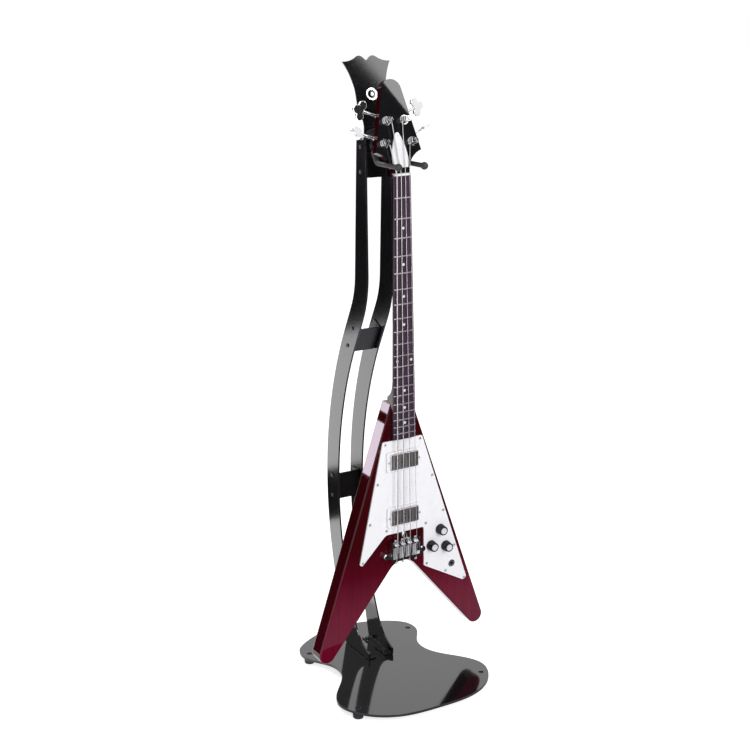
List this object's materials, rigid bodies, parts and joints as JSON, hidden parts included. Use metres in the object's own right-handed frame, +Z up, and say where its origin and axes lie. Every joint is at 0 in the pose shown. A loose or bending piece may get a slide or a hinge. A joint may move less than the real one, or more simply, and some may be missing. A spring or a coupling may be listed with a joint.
{
  "type": "bass guitar on floor stand",
  "caption": "V-shaped bass guitar with turning tuners, knobs and sliding saddles, resting by its headstock in the yoke of a bowed black steel floor stand.",
  "frame": {"origin": "on the floor under the middle of the stand's base", "axes": "+X to the right, +Y to the back, +Z up"},
  "size_m": [0.4575, 0.478, 1.4732],
  "materials": {
    "stand_black": "black gloss powder coat",
    "stand_screws": "blackened steel",
    "rubber": "matte black rubber",
    "medallion": "polished, bare",
    "cherry": "dark cherry gloss lacquer",
    "rosewood": "oiled dark wood",
    "fret_wire": "polished nickel silver",
    "pearl": "pearl",
    "white": "white gloss plastic",
    "head_black": "black gloss lacquer",
    "steel": "plain steel",
    "small_screws": "nickel",
    "nickel": "polished nickel cover",
    "chrome": "polished chrome",
    "string_steel": "wound steel",
    "knob": "black with silver cap"
  },
  "bodies": {
    "stand": {"base_plate": "stand_black", "feet": "rubber", "foot_screws": "stand_screws", "side_plate_left": "stand_black", "side_plate_right": "stand_black", "foot_bolts": "stand_screws", "crown_bracket": "stand_black", "middle_bracket": "stand_black", "lower_bracket": "stand_black", "bracket_screws": "stand_screws", "crown_medallion": "medallion", "yoke_rods": "stand_screws", "yoke_sleeves": "rubber", "yoke_nuts": "stand_screws"},
    "guitar": {"body": "cherry", "neck": "cherry", "fretboard": "rosewood", "frets": "fret_wire", "position_dots": "pearl", "nut": "white", "head_veneer": "head_black", "truss_rod": "steel", "truss_cover": "white", "truss_cover_screws": "small_screws", "pickguard": "white", "pickguard_screws": "small_screws", "pickup_neck": "nickel", "pickup_bridge": "nickel", "pickup_rings": "white", "pickup_screws": "small_screws", "pots": "steel", "jack_socket": "chrome", "bridge_plate": "chrome", "bridge_studs": "chrome", "saddle_screws": "small_screws", "strap_buttons": "chrome", "tuner_bushings": "chrome", "tuner_housings": "chrome", "tuner_screws": "small_screws", "string_e": "string_steel", "string_a": "string_steel", "string_d": "string_steel", "string_g": "string_steel"},
    "key_e": {"tuner_key_e": "chrome"},
    "post_e": {"tuner_post_e": "chrome"},
    "key_a": {"tuner_key_a": "chrome"},
    "post_a": {"tuner_post_a": "chrome"},
    "key_d": {"tuner_key_d": "chrome"},
    "post_d": {"tuner_post_d": "chrome"},
    "key_g": {"tuner_key_g": "chrome"},
    "post_g": {"tuner_post_g": "chrome"},
    "knob_upper": {"knob_upper": "knob"},
    "knob_inner": {"knob_inner": "knob"},
    "knob_lower": {"knob_lower": "knob"},
    "saddle_e": {"saddle_e": "chrome"},
    "saddle_a": {"saddle_a": "chrome"},
    "saddle_d": {"saddle_d": "chrome"},
    "saddle_g": {"saddle_g": "chrome"}
  },
  "joints": [
    {"name": "guitar_lift", "type": "slide", "parent": "stand", "child": "guitar", "axis": [-0.0113, -0.7071, 0.707], "range_m": [0, 0.2]},
    {"name": "key_e_turn", "type": "hinge", "parent": "guitar", "child": "key_e", "pos_m": [-0.03269, -0.01349, 1.29609], "axis": [-0.936, 0.0843, 0.3417], "continuous": true},
    {"name": "post_e_turn", "type": "hinge", "parent": "guitar", "child": "post_e", "pos_m": [-0.03612, -0.03694, 1.2925], "axis": [-0.0037, -0.9732, 0.23], "continuous": true},
    {"name": "key_a_turn", "type": "hinge", "parent": "guitar", "child": "key_a", "pos_m": [-0.02094, -0.00245, 1.343], "axis": [-0.936, 0.0843, 0.3417], "continuous": true},
    {"name": "post_a_turn", "type": "hinge", "parent": "guitar", "child": "post_a", "pos_m": [-0.02437, -0.02589, 1.33941], "axis": [-0.0037, -0.9732, 0.23], "continuous": true},
    {"name": "key_d_turn", "type": "hinge", "parent": "guitar", "child": "key_d", "pos_m": [0.01709, -0.00245, 1.34361], "axis": [0.9246, 0.0843, 0.3715], "continuous": true},
    {"name": "post_d_turn", "type": "hinge", "parent": "guitar", "child": "post_d", "pos_m": [0.02063, -0.02589, 1.34013], "axis": [-0.0037, -0.9732, 0.23], "continuous": true},
    {"name": "key_g_turn", "type": "hinge", "parent": "guitar", "child": "key_g", "pos_m": [0.03034, -0.01349, 1.2971], "axis": [0.9246, 0.0843, 0.3715], "continuous": true},
    {"name": "post_g_turn", "type": "hinge", "parent": "guitar", "child": "post_g", "pos_m": [0.03387, -0.03694, 1.29362], "axis": [-0.0037, -0.9732, 0.23], "continuous": true},
    {"name": "knob_upper_turn", "type": "hinge", "parent": "guitar", "child": "knob_upper", "pos_m": [0.1167, -0.046, 0.36876], "axis": [0, -1, 0], "range_deg": [-150, 150]},
    {"name": "knob_inner_turn", "type": "hinge", "parent": "guitar", "child": "knob_inner", "pos_m": [0.09129, -0.046, 0.33185], "axis": [0, -1, 0], "range_deg": [-150, 150]},
    {"name": "knob_lower_turn", "type": "hinge", "parent": "guitar", "child": "knob_lower", "pos_m": [0.13294, -0.046, 0.32301], "axis": [0, -1, 0], "range_deg": [-150, 150]},
    {"name": "saddle_e_slide", "type": "slide", "parent": "guitar", "child": "saddle_e", "axis": [0.016, 0, -0.9999], "range_m": [-0.004, 0.004]},
    {"name": "saddle_a_slide", "type": "slide", "parent": "guitar", "child": "saddle_a", "axis": [0.016, 0, -0.9999], "range_m": [-0.004, 0.004]},
    {"name": "saddle_d_slide", "type": "slide", "parent": "guitar", "child": "saddle_d", "axis": [0.016, 0, -0.9999], "range_m": [-0.004, 0.004]},
    {"name": "saddle_g_slide", "type": "slide", "parent": "guitar", "child": "saddle_g", "axis": [0.016, 0, -0.9999], "range_m": [-0.004, 0.004]}
  ],
  "couplings": [
    {"joint": "post_e_turn", "follows": "key_e_turn", "ratio": -0.05},
    {"joint": "post_a_turn", "follows": "key_a_turn", "ratio": -0.05},
    {"joint": "post_d_turn", "follows": "key_d_turn", "ratio": 0.05},
    {"joint": "post_g_turn", "follows": "key_g_turn", "ratio": 0.05}
  ]
}
